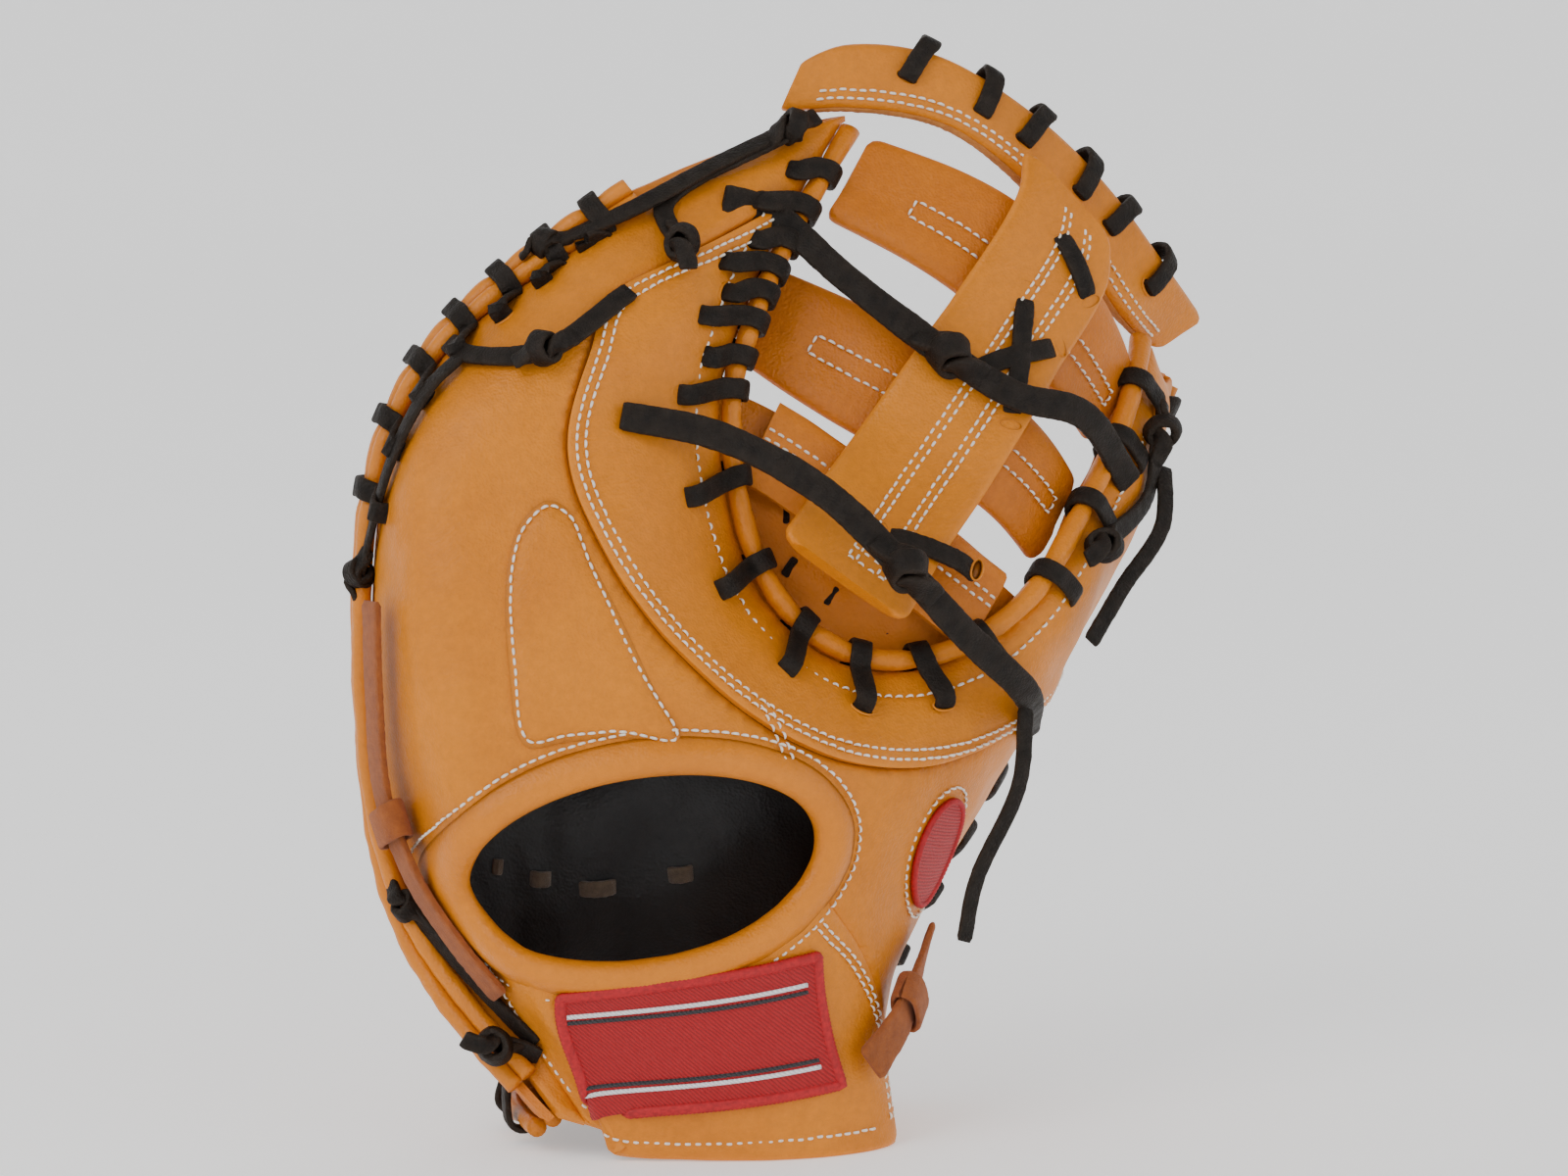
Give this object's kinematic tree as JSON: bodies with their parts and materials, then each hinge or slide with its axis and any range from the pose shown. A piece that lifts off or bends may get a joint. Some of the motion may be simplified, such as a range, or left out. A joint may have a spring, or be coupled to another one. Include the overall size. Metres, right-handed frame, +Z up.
{
  "type": "baseball mitt",
  "caption": "Left-hand first baseman mitt of orange leather with a deep pocket, laced edges, a two-bar web with a folded crown, a wrist strap and hanging lace ends.",
  "frame": {"origin": "bottom centre of the mitt's box, on the floor that it stands on", "axes": "+Z up from the heel to the finger tips, -Y out of the back of the hand, +Y out of the pocket, +X toward the thumb side"},
  "size_m": [0.257, 0.1876, 0.3232],
  "materials": {
    "palm_leather": "oiled leather, satin, with fine grain",
    "back_leather": "oiled leather, satin, with fine grain",
    "rolled_leather": "rolled leather edge, satin",
    "web_leather": "folded leather with stitched edges, satin",
    "patch": "embroidered cloth, matte",
    "liner": "dark soft lining, matte",
    "lace": "black rawhide lace, grainy, matte",
    "tie": "tan suede, matte"
  },
  "bodies": {
    "root": {"palm_shell": "palm_leather", "finger_back": "back_leather", "web_base": "back_leather", "thumb_back": "back_leather", "wrist_strap": "back_leather", "finger_ridge": "back_leather", "wrist_binding": "rolled_leather", "thumb_welt": "rolled_leather", "finger_welt": "rolled_leather", "heel_welt": "rolled_leather", "web_welt": "rolled_leather", "web_crown": "web_leather", "web_post": "web_leather", "web_bar_upper": "web_leather", "web_bar_lower": "web_leather", "web_foot": "palm_leather", "strap_patch": "patch", "thumb_patch": "patch", "palm_liner": "liner", "thumb_lace": "lace", "finger_lace": "lace", "heel_lace": "lace", "web_lace_thumb": "lace", "web_lace_base": "lace", "web_lace_finger": "lace", "palm_lace_foot": "lace", "palm_lace_thumb": "lace", "palm_lace_finger": "lace", "palm_lace_heel": "lace", "crown_lace": "lace", "side_lace": "lace", "tip_lace": "lace", "thumb_side_lace": "lace", "strap_lace": "lace", "web_tie_upper": "lace", "web_tie_lower": "lace", "tail_upper": "lace", "tail_lower": "lace", "pinky_tie": "tie", "thumb_tie": "tie"}
  },
  "joints": []
}
